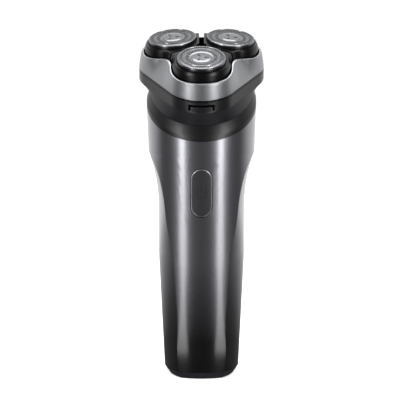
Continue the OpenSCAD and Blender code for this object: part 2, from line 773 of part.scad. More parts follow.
module release_latch() color("#1a1b1e") in_head() {
    intersection() {
        translate([0, -lobe_spread, 0]) disc(lobe_r, latch_low, latch_top);
        block([-latch_half, -band_front - cut, latch_low], [latch_half, -band_front + 0.8, latch_top]);
    }
    block([-arm_half, -band_front + 0.5, latch_low], [arm_half, -band_front + 4.05, latch_low + 0.7]);
    block([-arm_half, -band_front + 3.4, latch_low], [arm_half, -band_front + 4.05, hook_top]);
    block([-hook_half, -band_front + 3.15, hook_top - 0.7], [hook_half, -band_front + 4.05, hook_top]);
}

module hinge_pin() color("#c4c7ca") in_head() translate([0, hinge_out, hinge_rise])
    along_x(hinge_r, ear_out - slip_gap);

// ---------------------------------------------------------------- head
module head_frame() color("#17181a") in_head() difference() {
    union() {
        difference() {
            triangle_block(lobe_r - seat_gap, lip_low, trim_low);
            triangle_block(frame_bore, lip_low - cut, trim_low + cut);
        }
        difference() {
            triangle_block(frame_bore + 1.2, lip_low, carrier_top);
            triangle_block(frame_bore, lip_low - cut, carrier_low);
            for (a = side_angle) rotate([0, 0, a]) translate([pivot_spread, 0, 0])
                disc(8.2, 0, carrier_top + cut);
        }
        for (a = side_angle) rotate([0, 0, a]) for (s = [-1, 1])
            translate([pivot_spread, s * post_y, 0]) {
                block([-1.6, -post_half, carrier_low], [1.6, post_half, pivot_rise + 1.4]);
                translate([0, 0, pivot_rise]) along_y(pivot_r, min(0, s * pivot_len), max(0, s * pivot_len));
            }
        disc(1.5, carrier_low, cutter_rise - 6);
        block([-1.1, 2, carrier_low], [1.1, lobe_spread / 2 + 6, carrier_top + 2]);
        block([-tooth_half, -tooth_front, tooth_low], [tooth_half, -tooth_front + 0.7, trim_low]);
        block([-hook_half, -tooth_front, tooth_low],
              [hook_half, -band_front + band_wall + 1.6, tooth_low + tooth_t]);
        translate([0, hinge_out, hinge_rise]) along_x(knuckle_r, knuckle_half);
        block([-knuckle_half + weld, hinge_out - 4.6, lip_low],
              [knuckle_half - weld, hinge_out + knuckle_r - edge_break, trim_low]);
        block([-knuckle_half + weld, hinge_out - 1.35, hinge_rise],
              [knuckle_half - weld, hinge_out + knuckle_r - edge_break, trim_low]);
    }
    translate([0, hinge_out, hinge_rise]) along_x(hinge_r + run_gap, ear_out);
}

function trim_high(a) = mix(trim_lobe_height, trim_valley_height, step_up((fold(a) - 22) / 38));
function trim_edge(a, w) = mix(triangle_edge(lobe_r, a), lobed_edge(trim_r, a), pow(w, 1.25));
function trim_point(a, w, inset) =
    polar(trim_edge(a, w) - inset, a, mix(trim_low, trim_high(a), w));

module trim_ring() color("#c9ccd0") in_head() swept_ring(concat(
    [for (w = [0, 0.2, 0.4, 0.6, 0.8, 0.95]) [for (a = ring_angles()) trim_point(a, w, 0)]],
    [[for (a = ring_angles()) trim_point(a, 1, edge_break)]],
    [for (w = [1, 0.8, 0.6, 0.4, 0.2, 0]) [for (a = ring_angles()) trim_point(a, w, trim_wall)]]
));

// The pod's outer wall, and the hollow beside it that keeps the same gap from the pod's centre
pod_waist = -4.4;           // the wall starts to lean in here
pod_shoulder = -2.9;
pod_lean = pod_r - pod_rim_r;
module pod_wall() spun([
    [pod_r - edge_break, pod_low], [pod_r, pod_low + edge_break], [pod_r, pod_waist],
    [pod_r - 0.35 * pod_lean, pod_shoulder], [pod_rim_r + 0.15, pod_top - 0.25], [pod_rim_r, pod_top]
]);
module pod_hollow() spun([
    [hollow_r, pod_low - cut], [hollow_r, pod_waist], [hollow_r + 0.35 * pod_lean, pod_shoulder],
    [hollow_r + pod_lean - 0.15, pod_top - 0.25], [hollow_r + pod_lean + 1, pod_top + 0.2]
]);

module pod(i) color("#141517") {
    hollow_x = hollow_at(pod_r) * cos(60) - cutter_spread;
    hollow_y = hollow_at(pod_r) * sin(60);
    difference() {
        union() {
            at_cutter(i) {
                pod_wall();
                for (s = [-1, 1]) difference() {
                    translate([0, 0, pod_low]) linear_extrude(pod_top - pod_low)
                        polygon([[0, 0], [-cutter_spread, 0], [hollow_x, s * hollow_y]]);
                    for (t = [-1, 1]) translate([hollow_x, t * hollow_y, 0]) pod_hollow();
                }
            }
            at_side(i) for (s = [-1, 1]) translate([pivot_spread, s * lug_y, 0])
                block([-1.5, -lug_half, pivot_rise - 1.4], [1.5, lug_half, pivot_rise + 2.2]);
        }
        at_side(i) {
            for (s = [-1, 1]) rotate([0, 0, s * 60])
                let (g = (abs(side_angle[i] + s * 60 - 90) < 1 ? rear_gap : seam_gap) / 2)
                block([-big, s > 0 ? -g : -big, -big], [big, s > 0 ? big : g, big]);
            disc(2.4, 0, big / 4);
            translate([pivot_spread, 0, pivot_rise]) {
                along_y(pivot_r + run_gap, -lug_y - 2, lug_y + 2);
                block([-2.2, -lug_y + lug_half + 0.01, -2], [2.2, lug_y - lug_half - 0.01, 2]);
            }
        }
        at_cutter(i) {
            disc(rim_bore_r, rim_low - cut, cut);
            disc(cavity_r, pod_low - cut, rim_low);
        }
    }
}

module pod_retainer(i) color("#2a2c30") at_cutter(i) difference() {
    disc(cavity_r - seat_gap, retainer_low, retainer_top);
    disc(hub_r + edge_break, retainer_low - cut, retainer_top + cut);
    for (k = [0:5]) rotate([0, 0, k * 60 + 30]) translate([(hub_r + cavity_r) / 2 - 0.1, 0, 0])
        disc(2.2, retainer_low - cut, retainer_top + cut);
}

module cutter_cap(i) color("#cfd2d5") at_cutter(i) difference() {
    rotate_extrude() polygon([
        [0, 0.15], [cap_r - 6.6, 0.15], [cap_r - 6.3, 0], [cap_r - 3.45, 0], [cap_r - 3.3, -0.15],
        [cap_r - 2.8, -0.15], [cap_r - 2.65, 0],
        [cap_r - 0.5, 0], [cap_r - 0.12, -0.2], [cap_r, -0.6], [cap_r, flange_top],
        [flange_r, flange_top], [flange_r, flange_low], [cap_r - 0.6, flange_low],
        [cap_r - 0.6, -cap_wall], [spindle_r, -cap_wall], [spindle_r, -2.5], [0, -2.5]
    ]);
    for (k = [0:cap_slots - 1]) rotate([0, 0, k * 360 / cap_slots]) for (t = tracks)
        block([t[0], -slot_half, -cap_wall - cut / 2], [t[1], slot_half, cap_wall]);
}

module cutter_rotor(i) color("#dcdee0") at_cutter(i) difference() {
    union() {
        disc(tracks[0][1], rotor_low, rotor_top);
        disc(2.2, rotor_low, -1.2);
        for (k = [0:blade_count - 1]) rotate([0, 0, k * 360 / blade_count]) for (t = tracks)
            block([t[0] + 0.1, -blade_half, rotor_top - weld],
                  [t[1] - 0.1, blade_half, -cap_wall - seat_gap]);
    }
    disc(spindle_r + run_gap, rotor_low - cut, 0);
}

module rotor_hub(i) color("#e8e4da") at_cutter(i) rotate([0, 0, -side_angle[i]]) difference() {
    disc(hub_r, hub_low, rotor_low);
    difference() {
        disc(socket_r, hub_low - cut, rotor_low - hub_floor);
        for (s = [-1, 1]) translate([0, s * socket_r, 0])
            block([-0.6, -1.3, hub_low - 2 * cut], [0.6, 1.3, 0]);
    }
}

body_sleeve();
collar_ring();
neck_shell();
bottom_cap();
bottom_gasket();
bottom_screws();
chassis_front();
chassis_back();
motor_can();
motor_end_cap();
motor_screws();
motor_shaft();
motor_pinion();
gear_plate();
drive_deck();
deck_seal();
deck_screws();
shaft_seals();
drive_gear(0);  // drive_gear_front
drive_gear(1);  // drive_gear_right
drive_gear(2);  // drive_gear_left
drive_pin(0);  // drive_pin_front
drive_pin(1);  // drive_pin_right
drive_pin(2);  // drive_pin_left
drive_spring(0);  // drive_spring_front
drive_spring(1);  // drive_spring_right
drive_spring(2);  // drive_spring_left
battery_cell();
battery_tabs();
main_board();
board_components();
power_switch();
switch_actuator();
indicator_led();
usb_board();
usb_socket();
motor_leads();
power_button();
button_seal();
release_latch();
hinge_pin();
head_frame();
trim_ring();
pod(0);  // pod_front
pod(1);  // pod_right
pod(2);  // pod_left
pod_retainer(0);  // pod_retainer_front
pod_retainer(1);  // pod_retainer_right
pod_retainer(2);  // pod_retainer_left
cutter_cap(0);  // cutter_cap_front
cutter_cap(1);  // cutter_cap_right
cutter_cap(2);  // cutter_cap_left
cutter_rotor(0);  // cutter_rotor_front
cutter_rotor(1);  // cutter_rotor_right
cutter_rotor(2);  // cutter_rotor_left
rotor_hub(0);  // rotor_hub_front
rotor_hub(1);  // rotor_hub_right
rotor_hub(2);  // rotor_hub_left
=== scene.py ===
import bpy
import bmesh
import math
from mathutils import Matrix, Vector


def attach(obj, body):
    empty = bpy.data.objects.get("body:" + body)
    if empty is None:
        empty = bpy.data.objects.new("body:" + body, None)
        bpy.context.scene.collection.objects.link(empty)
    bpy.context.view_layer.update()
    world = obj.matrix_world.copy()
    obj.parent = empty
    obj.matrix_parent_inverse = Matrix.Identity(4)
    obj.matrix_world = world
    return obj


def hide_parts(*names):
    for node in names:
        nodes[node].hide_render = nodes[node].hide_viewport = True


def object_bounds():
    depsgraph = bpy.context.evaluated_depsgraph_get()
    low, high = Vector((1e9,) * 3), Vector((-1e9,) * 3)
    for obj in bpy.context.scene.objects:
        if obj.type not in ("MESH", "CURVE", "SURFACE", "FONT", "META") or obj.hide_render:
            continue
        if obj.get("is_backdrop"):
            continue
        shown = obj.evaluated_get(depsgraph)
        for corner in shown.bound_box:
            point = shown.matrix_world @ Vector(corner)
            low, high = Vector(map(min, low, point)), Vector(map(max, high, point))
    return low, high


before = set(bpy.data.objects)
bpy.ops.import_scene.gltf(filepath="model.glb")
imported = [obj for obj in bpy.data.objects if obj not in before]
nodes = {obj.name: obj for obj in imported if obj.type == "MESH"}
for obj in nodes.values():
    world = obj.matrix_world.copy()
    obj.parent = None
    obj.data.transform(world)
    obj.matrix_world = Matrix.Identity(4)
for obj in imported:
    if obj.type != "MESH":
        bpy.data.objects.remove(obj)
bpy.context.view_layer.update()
mm = 0.001
print("frame loaded:", len(nodes), "nodes")


# materials
def linearColour(hexText):
    channels = [int(hexText[i:i + 2], 16) / 255 for i in (1, 3, 5)]
    return [c / 12.92 if c <= 0.04045 else ((c + 0.055) / 1.055) ** 2.4 for c in channels] + [1.0]


def addNode(material, kind, settings=None, links=None):
    node = material.node_tree.nodes.new(kind)
    for key, value in (settings or {}).items():
        if hasattr(node, str(key)):
            setattr(node, key, value)
        else:
            node.inputs[key].default_value = value
    for key, source in (links or {}).items():
        material.node_tree.links.new(source, node.inputs[key])
    return node


def startMaterial(name, shader):
    material = bpy.data.materials.new(name)
    material.use_nodes = True
    material.node_tree.nodes.clear()
    surface = addNode(material, "ShaderNodeBsdfPrincipled", shader)
    addNode(material, "ShaderNodeOutputMaterial", links={"Surface": surface.outputs[0]})
    return material, surface


def linkInput(material, node, name, source):
    material.node_tree.links.new(source, node.inputs[name])


def rampStops(node, stops):
    while len(node.color_ramp.elements) < len(stops):
        node.color_ramp.elements.new(0.5)
    for element, (position, colour) in zip(node.color_ramp.elements, stops):
        element.position = position
        element.color = linearColour(colour)


def objectNoise(material, size, detail=3.0, stretch=(1.0, 1.0, 1.0)):
    # noise whose lumps are about size millimetres across
    place = addNode(material, "ShaderNodeTexCoord")
    turned = addNode(material, "ShaderNodeMapping", {"Scale": stretch}, {"Vector": place.outputs["Object"]})
    return addNode(material, "ShaderNodeTexNoise", {"Scale": 1 / (size * mm), "Detail": detail},
                   {"Vector": turned.outputs[0]})


def varied(material, surface, source, name, low, high):
    # lets a pattern move one of the surface's settings between two values
    spread = addNode(material, "ShaderNodeMapRange", {
        "From Min": 0.3, "From Max": 0.7, "To Min": low, "To Max": high}, {"Value": source.outputs[0]})
    linkInput(material, surface, name, spread.outputs[0])


def grainBump(material, surface, source, strength, depth):
    bump = addNode(material, "ShaderNodeBump", {"Strength": strength, "Distance": depth * mm},
                   {"Height": source.outputs[0]})
    linkInput(material, surface, "Normal", bump.outputs[0])


def tinted(material, surface, source, colour, spread=0.88):
    # the colour with a faint mottle, as any moulded or plated surface has
    full = linearColour(colour)
    dimmed = [c * spread for c in full[:3]] + [1.0]
    blend = addNode(material, "ShaderNodeMix", {"data_type": "RGBA", 6: dimmed, 7: full},
                    {0: source.outputs[0]})
    linkInput(material, surface, "Base Color", blend.outputs[2])


lacquerLook = {"foot": 0.0, "shoulder": 0.126, "flakeScale": 9000.0, "bright": 0.24, "dull": 0.34, "stops": [
    (0.0, "#151517"), (0.14, "#1c1c1f"), (0.3, "#5a5a5e"), (0.44, "#7a7a7f"), (1.0, "#828288")]}


def lacquerMaterial():
    # metallic lacquer sprayed on ABS, silver-graphite at the shoulder and black at the foot
    material, surface = startMaterial("metallic_lacquer_sprayed_abs", {
        "Metallic": 0.9, "Coat Weight": 1.0, "Coat Roughness": 0.17, "Coat IOR": 1.65})
    place = addNode(material, "ShaderNodeTexCoord")
    split = addNode(material, "ShaderNodeSeparateXYZ", links={"Vector": place.outputs["Object"]})
    height = addNode(material, "ShaderNodeMapRange", {
        "From Min": lacquerLook["foot"], "From Max": lacquerLook["shoulder"]}, {"Value": split.outputs["Z"]})
    ramp = addNode(material, "ShaderNodeValToRGB", links={"Fac": height.outputs[0]})
    rampStops(ramp, lacquerLook["stops"])
    linkInput(material, surface, "Base Color", ramp.outputs[0])
    # flake sparkle
    flakes = addNode(material, "ShaderNodeTexNoise", {"Scale": lacquerLook["flakeScale"], "Detail": 1.0},
                     {"Vector": place.outputs["Object"]})
    varied(material, surface, flakes, "Roughness", lacquerLook["bright"], lacquerLook["dull"])
    return material


def plasticMaterial(name, colour, roughness, grain=0.1, coat=0.0, size=0.4, specular=0.5):
    material, surface = startMaterial(name, {
        "Coat Weight": coat, "Coat Roughness": 0.08, "IOR": 1.5, "Specular IOR Level": specular})
    pattern = objectNoise(material, size)
    tinted(material, surface, pattern, colour)
    varied(material, surface, pattern, "Roughness", roughness * 0.88, roughness * 1.12)
    grainBump(material, surface, pattern, grain, 0.02)
    return material


def metalMaterial(name, colour, roughness, grain=0.08, stretch=(1.0, 1.0, 1.0)):
    material, surface = startMaterial(name, {"Metallic": 1.0})
    pattern = objectNoise(material, 0.5, stretch=stretch)
    tinted(material, surface, pattern, colour, 0.92)
    varied(material, surface, pattern, "Roughness", roughness * 0.85, roughness * 1.15)
    grainBump(material, surface, pattern, grain, 0.01)
    return material


def turnedSteel(name, colour, roughness):
    # concentric grinding marks, about 0.25 mm apart, along the piece's own map: V is the radius in metres
    material, surface = startMaterial(name, {"Metallic": 1.0})
    place = addNode(material, "ShaderNodeTexCoord")
    split = addNode(material, "ShaderNodeSeparateXYZ", links={"Vector": place.outputs["UV"]})
    marks = addNode(material, "ShaderNodeTexNoise", {
        "noise_dimensions": "1D", "Scale": 1 / (0.25 * mm), "Detail": 2.0}, {"W": split.outputs["Y"]})
    tinted(material, surface, marks, colour, 0.7)
    varied(material, surface, marks, "Roughness", roughness * 0.75, roughness * 1.25)
    grainBump(material, surface, marks, 0.25, 0.02)
    return material


lacquer = lacquerMaterial()
# ABS moulded in a polished tool
glossBlack = plasticMaterial("gloss_black_moulded_abs", "#0a0a0c", 0.38, 0.03, coat=0.04)
# the same resin from a finely spark-eroded tool: an even charcoal
satinBlack = plasticMaterial("satin_black_moulded_abs", "#202025", 0.42, 0.15)
# hard-wearing PBT round the cutters, a little shinier than the ABS
podBlack = plasticMaterial("semi_gloss_black_moulded_pbt", "#070708", 0.3, 0.05, specular=0.3)
# the band of the neck
bandBlack = plasticMaterial("gloss_black_moulded_band", "#17171a", 0.34, 0.04)
# satin plating over ABS
silverTrim = metalMaterial("satin_silver_plated_abs", "#a9aaad", 0.42, 0.05)
# stainless sheet ground in a lathe: fine rings that catch the light
cutterSteel = turnedSteel("ground_stainless_steel", "#8a8b8e", 0.26)
# the ring that carries each cap: plain black
capCarrier = plasticMaterial("black_moulded_cap_carrier", "#0c0c0e", 0.3, 0.05)
# floor of each slot in a cap: painted shade, darker than the steel where a real slot shows the shadowed
# hollow under the cap; the coined marks on the cap centre take the same colour
slotShadeAndCapMark = plasticMaterial("painted_slot_shade_and_cap_mark", "#1c1c1f", 0.5)
# rubbery lacquer that scatters the light
keyBlack = plasticMaterial("soft_touch_key_lacquer", "#2a2a2e", 0.44, 0.12)
# one pass of pad-printing ink, darker than the key
keyMark = plasticMaterial("pad_printed_key_mark", "#101012", 0.5)
# ABS foot: a dark grey that sets it off from the lacquer
capPlastic = plasticMaterial("dark_grey_moulded_abs", "#3c3c41", 0.35, 0.12)
# nylon with glass fibre, whose ends mottle the surface
innerPlastic = plasticMaterial("glass_filled_nylon", "#26282b", 0.5, 0.25, size=0.7)
# unpainted acetal: waxy and off-white
acetal = plasticMaterial("natural_acetal", "#d8d3c6", 0.35, 0.06)
# deep-drawn steel under nickel: warm grey and fairly bright
nickelSteel = metalMaterial("nickel_plated_steel", "#b9babd", 0.28, 0.05)
# cold-drawn wire and bar, with marks along its length
brightSteel = metalMaterial("bright_drawn_steel", "#c6c7ca", 0.2, 0.1, (1.0, 1.0, 0.1))
# free-cutting brass with the tool's marks across it
brass = metalMaterial("turned_brass", "#c9a45a", 0.25, 0.05, (0.2, 0.2, 1.0))
# silicone rubber: dull
rubber = plasticMaterial("moulded_silicone", "#4a4c50", 0.6, 0.1)
# heat-shrunk PVC: smooth, with slow ripples
cellSleeve = plasticMaterial("pvc_shrink_sleeve", "#2b6b45", 0.3, 0.12, size=2.0)
# solder mask over copper
solderMask = plasticMaterial("green_solder_mask", "#17553a", 0.3, 0.12)
# moulded chip packages: charcoal, finely pitted
chipEpoxy = plasticMaterial("chip_epoxy", "#17181a", 0.45, 0.2)
# milky acrylic
ledLens = plasticMaterial("diffuse_led_lens", "#e6eaee", 0.3, 0.03)
# extruded PVC
wireJacket = plasticMaterial("pvc_wire_jacket", "#a02a26", 0.4, 0.08)
print("materials made")

cadMaterials = {
    "bottom_cap": capPlastic, "bottom_gasket": rubber, "bottom_screws": brightSteel,
    "chassis_front": innerPlastic, "chassis_back": innerPlastic, "motor_can": nickelSteel,
    "motor_end_cap": innerPlastic, "motor_screws": brightSteel, "motor_shaft": brightSteel,
    "motor_pinion": brass, "gear_plate": nickelSteel, "drive_deck": innerPlastic,
    "deck_seal": rubber, "deck_screws": brightSteel, "shaft_seals": rubber,
    "battery_cell": cellSleeve, "battery_tabs": nickelSteel, "main_board": solderMask,
    "board_components": chipEpoxy, "power_switch": nickelSteel, "switch_actuator": acetal,
    "indicator_led": ledLens, "usb_board": solderMask, "usb_socket": nickelSteel,
    "motor_leads": wireJacket, "button_seal": rubber, "release_latch": bandBlack,
    "hinge_pin": brightSteel, "head_frame": podBlack,
}
for side in ("front", "right", "left"):
    cadMaterials["pod_" + side] = podBlack
    cadMaterials["drive_gear_" + side] = acetal
    cadMaterials["drive_pin_" + side] = brightSteel
    cadMaterials["drive_spring_" + side] = brightSteel
    cadMaterials["pod_retainer_" + side] = innerPlastic
    cadMaterials["cutter_rotor_" + side] = cutterSteel
    cadMaterials["rotor_hub_" + side] = acetal
for nodeName, material in cadMaterials.items():
    mesh = nodes[nodeName].data
    mesh.materials.clear()
    mesh.materials.append(material)
print("frame pieces dressed")

# the shaver's leading sizes, in millimetres
shaver = {
    "bodyHeight": 125.8, "bodyTop": 25.4, "bodyBase": 22.4, "waistHalf": 19.95, "baseHalf": 17.3,
    "scoopRadius": 76.0, "capTop": 3.2, "collarSlope": math.radians(31), "collarFlat": 48.5,
    "neckStep": 1.75, "headTilt": math.radians(20), "headRise": 13.7, "headForward": 3.0,
    "lobeSpread": 15.2, "lobeRadius": 15.8, "trimRadius": 14.6, "bandHeight": 5.05, "band": 1.5,
    "cutterSpread": 15.5, "cutterRise": 15.4, "cutterLean": math.radians(5), "hollow": 10.0,
    # the waist's ends as shares of the height, and how the round front swells and the sides bow
    "waistLow": 0.445, "waistHigh": 0.62, "swell": 1.6, "scoopShare": 0.9, "widestCrease": math.radians(86),
    "bowFoot": 33.3, "bowWaist": 30.0, "bowTop": 54.0, "bowFootTop": 30.0, "bowFrom": 55.0, "bowTo": 92.0,
}
headTurn = (Matrix.Translation((0, -shaver["headForward"], shaver["bodyHeight"] + shaver["headRise"]))
            @ Matrix.Rotation(shaver["headTilt"], 4, "X"))
toMetres = Matrix.Scale(mm, 4)
sideAngles = {"front": -90, "right": 30, "left": 150}


def cutterTurn(side):
    return (headTurn @ Matrix.Rotation(math.radians(sideAngles[side]), 4, "Z")
            @ Matrix.Translation((shaver["cutterSpread"], 0, shaver["cutterRise"]))
            @ Matrix.Rotation(shaver["cutterLean"], 4, "Y"))


def mix(a, b, w):
    return a * (1 - w) + b * w


def stepUp(w):
    w = min(1.0, max(0.0, w))
    return w * w * (3 - 2 * w)


def mapGrid(bm, columns, rows, place, weld=0.0005, closed=False):
    # a grid laid over a surface: place takes 0 to 1 around and 0 to 1 along, and each point keeps its row
    rowLayer = bm.verts.layers.int.get("row") or bm.verts.layers.int.new("row")
    made = bmesh.ops.create_grid(bm, x_segments=columns, y_segments=rows, size=1.0)
    for vert in made["verts"]:
        u = round((vert.co.x + 1) / 2 * columns)
        v = round((vert.co.y + 1) / 2 * rows)
        vert[rowLayer] = v % rows if closed else v
        vert.co = place(u / columns, v / rows)
    bmesh.ops.remove_doubles(bm, verts=made["verts"], dist=weld)


def edgesOnRow(bm, row):
    rowLayer = bm.verts.layers.int["row"]
    return [e for e in bm.edges if e.verts[0][rowLayer] == row and e.verts[1][rowLayer] == row]


def facesAfterRow(bm, row, count):
    # the band of faces between one row and the next
    rowLayer = bm.verts.layers.int["row"]
    wanted = {row % count, (row + 1) % count}
    return [f for f in bm.faces if {v[rowLayer] for v in f.verts} == wanted]


def placedRing(bm, points):
    ring = bmesh.ops.create_circle(bm, segments=len(points), radius=1.0)["verts"]
    for vert, point in zip(ring, points):
        vert.co = point
    return ring


def ringEdges(ring):
    inRing = set(ring)
    return list({e for v in ring for e in v.link_edges if e.other_vert(v) in inRing})


def soften(bm, edges, offset, segments):
    bmesh.ops.bevel(bm, geom=edges, offset=offset, offset_type="OFFSET", segments=segments, profile=0.5,
                    affect="EDGES", material=-1, clamp_overlap=True)


def edgesOf(made):
    return list({e for v in made["verts"] for e in v.link_edges})


def finishPiece(name, bm, turn, materials, body, replaced, sharpDegrees=35):
    bmesh.ops.recalc_face_normals(bm, faces=bm.faces)
    bmesh.ops.transform(bm, matrix=toMetres @ turn, verts=bm.verts)
    for face in bm.faces:
        face.smooth = True
    for edge in bm.edges:
        if len(edge.link_faces) == 2 and edge.calc_face_angle(0.0) > math.radians(sharpDegrees):
            edge.smooth = False
    mesh = bpy.data.meshes.new(name)
    bm.to_mesh(mesh)
    bm.free()
    for material in materials:
        mesh.materials.append(material)
    piece = bpy.data.objects.new(name, mesh)
    bpy.context.scene.collection.objects.link(piece)
    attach(piece, body)
    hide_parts(*replaced)
    return piece


# body outline: a round front and back with a scooped curve down each side
def roundRadius(z):
    rise = min(1.0, max(0.0, z / shaver["bodyHeight"])) ** shaver["swell"]
    return mix(shaver["bodyBase"], shaver["bodyTop"], rise)


def sideHalf(z):
    low, high = shaver["bodyHeight"] * shaver["waistLow"], shaver["bodyHeight"] * shaver["waistHigh"]
    if z < low:
        climb = max(0, z - shaver["capTop"]) / (low - shaver["capTop"])
        return mix(shaver["baseHalf"], shaver["waistHalf"], climb)
    if z < high:
        return shaver["waistHalf"]
    reach = min(z - high, shaver["scoopRadius"] * shaver["scoopShare"])
    return shaver["waistHalf"] + shaver["scoopRadius"] - math.sqrt(shaver["scoopRadius"] ** 2 - reach ** 2)


def sideBow(z):
    # radius of the scooped side, seen from above
    if z < shaver["bowFootTop"]:
        climb = (z - shaver["capTop"]) / (shaver["bowFootTop"] - shaver["capTop"])
        return mix(shaver["bowFoot"], shaver["bowWaist"], stepUp(climb))
    climb = (z - shaver["bowFrom"]) / (shaver["bowTo"] - shaver["bowFrom"])
    return mix(shaver["bowWaist"], shaver["bowTop"], stepUp(climb))


def creaseAngle(z):
    # angle from the front at which the scooped side takes over from the round front
    radius, half, bow = roundRadius(z), sideHalf(z), sideBow(z)
    widest = shaver["widestCrease"]
    if half >= radius:
        return widest
    centre = bow - half
    across = (bow * bow - radius * radius - centre * centre) / (2 * centre)
    return min(math.asin(max(0.05, min(1.0, across / radius))), widest)


def bodyPoint(angle, z):
    # angle from the front, positive to the right
    radius, half, bow = roundRadius(z), sideHalf(z), sideBow(z)
    reach = radius
    if half < radius:
        # along the ray, the nearer of the round front and the scooped side
        centre = half - bow
        dot = abs(math.sin(angle)) * centre
        reach = min(radius, dot + math.sqrt(max(0.0, dot * dot - centre * centre + bow * bow)))
    return reach * math.sin(angle), -reach * math.cos(angle)


def collarLine(y):
    slope, flat = shaver["collarSlope"], shaver["collarFlat"]
    if y < 0:
        return y * math.tan(slope)
    s = math.sin(slope) - y / flat
    return flat * (math.sqrt(1 - s * s) - math.cos(slope))


# sleeve
sleeve = {"columns": 32, "rows": 150, "wall": 2.2, "straightTop": 100.0, "keyWide": 10.0, "keyHigh": 22.0,
          "keyMiddle": 87.0, "keyGap": 0.25, "patchWide": 8.5, "patchHigh": 15.5, "rimAbove": 4.0,
          "rimAside": 3.0, "footGap": 0.06, "straightShare": 0.75, "crease": 0.9,
          "creaseTurn": math.radians(9), "creaseRise": 0.3, "footZone": 10.0}


def sleeveAngle(u, z):
    # columns keep to the crease: front, right side, back, left side
    crease = creaseAngle(z)
    stops = [-crease, crease, math.pi - crease, math.pi + crease, 2 * math.pi - crease]
    k = min(3, int(u * 4 + 1e-9))
    return mix(stops[k], stops[k + 1], u * 4 - k)


def sleevePoint(u, v):
    share, top = sleeve["straightShare"], sleeve["straightTop"]
    z = mix(shaver["capTop"] + sleeve["footGap"], top, v / share)
    if v > share:
        # the upper rows close in on the slanting shoulder, whose height depends on where the point lands
        z = top
        for _ in range(6):
            x, y = bodyPoint(sleeveAngle(u, z), z)
            z = mix(top, shaver["bodyHeight"] + collarLine(y), (v - share) / (1 - share))
    x, y = bodyPoint(sleeveAngle(u, z), z)
    return Vector((x, y, z))


def pillReach(wide, high, angle):
    # distance from an upright pill's middle to its edge
    straight = (high - wide) / 2
    c, s = abs(math.cos(angle)), abs(math.sin(angle))
    if s * wide / 2 <= c * straight:
        return wide / 2 / c
    b = s * straight
    return b + math.sqrt(max(0.0, b * b - straight * straight + wide * wide / 4))


def onBody(x, z, inset=0.0):
    radius = roundRadius(z) - inset
    return Vector((x, -math.sqrt(radius * radius - x * x), z))


bm = bmesh.new()
mapGrid(bm, 4 * sleeve["columns"], sleeve["rows"], sleevePoint)
middle = sleeve["keyMiddle"]
opened = []
for face in bm.faces:
    x, y, z = face.calc_center_median()
    if y < 0 and abs(x) < sleeve["patchWide"] and abs(z - middle) < sleeve["patchHigh"]:
        opened.append(face)
bmesh.ops.delete(bm, geom=opened, context="FACES")
rimEdges = []
for edge in bm.edges:
    x, y, z = edge.verts[0].co
    nearKey = (abs(z - middle) < sleeve["patchHigh"] + sleeve["rimAbove"]
               and abs(x) < sleeve["patchWide"] + sleeve["rimAside"])
    if edge.is_boundary and nearKey and y < 0:
        rimEdges.append(edge)
rim = sorted({v for e in rimEdges for v in e.verts}, key=lambda v: math.atan2(v.co.z - middle, v.co.x))
starts = [v.co.copy() for v in rim]
wide, high = sleeve["keyWide"] + 2 * sleeve["keyGap"], sleeve["keyHigh"] + 2 * sleeve["keyGap"]
ends = []
for start in starts:
    angle = math.atan2(start.z - middle, start.x)
    reach = pillReach(wide, high, angle)
    ends.append((reach * math.cos(angle), middle + reach * math.sin(angle)))
lastEdges = rimEdges
for w in (0.25, 0.5, 0.75, 1.0):
    ring = placedRing(bm, [onBody(mix(a.x, b[0], w), mix(a.z, b[1], w)) for a, b in zip(starts, ends)])
    bmesh.ops.bridge_loops(bm, edges=lastEdges + ringEdges(ring))
    lastEdges = ringEdges(ring)
bmesh.ops.recalc_face_normals(bm, faces=bm.faces)
creaseEdges = []
for edge in bm.edges:
    climbs = abs(edge.verts[0].co.z - edge.verts[1].co.z) > sleeve["creaseRise"]
    if climbs and not edge.is_boundary and edge.calc_face_angle(0.0) > sleeve["creaseTurn"]:
        creaseEdges.append(edge)
soften(bm, creaseEdges, sleeve["crease"], 3)
# inner wall: the outer one again, drawn in, then joined along the three open edges
openEdges = [e for e in bm.edges if e.is_boundary]
copied = bmesh.ops.duplicate(bm, geom=bm.verts[:] + bm.edges[:] + bm.faces[:])
for vert in [g for g in copied["geom"] if isinstance(g, bmesh.types.BMVert)]:
    reach = math.hypot(vert.co.x, vert.co.y)
    vert.co.x *= 1 - sleeve["wall"] / reach
    vert.co.y *= 1 - sleeve["wall"] / reach


def openLoop(edge):
    z = edge.verts[0].co.z
    return "foot" if z < sleeve["footZone"] else "key" if abs(z - middle) < high / 2 + 1 else "shoulder"


for loopName in ("foot", "key", "shoulder"):
    outer = [e for e in openEdges if openLoop(e) == loopName]
    bmesh.ops.bridge_loops(bm, edges=outer + [copied["edge_map"][e] for e in outer])
finishPiece("sleeve", bm, Matrix.Identity(4), [lacquer], "handle", ["body_sleeve"], 50)
print("sleeve made")


# head outlines: a rounded triangle, and the same with hollows between the lobes
def fold(angle):
    # degrees from the middle of the nearest lobe
    return abs((math.degrees(angle) + 90 + 60 + 720) % 120 - 60)


def triangleEdge(radius, angle):
    spread, t = shaver["lobeSpread"], fold(angle)
    start = math.degrees(math.atan2(radius * math.sin(math.radians(60)), spread + radius / 2))
    tr = math.radians(t)
    if t < start:
        return spread * math.cos(tr) + math.sqrt(radius ** 2 - (spread * math.sin(tr)) ** 2)
    return (spread / 2 + radius) / math.cos(math.radians(60 - t))


def hollowMiddle(radius):
    spread, hollow = shaver["lobeSpread"], shaver["hollow"]
    return spread / 2 + math.sqrt((radius + hollow) ** 2 - (spread * math.sin(math.radians(60))) ** 2)


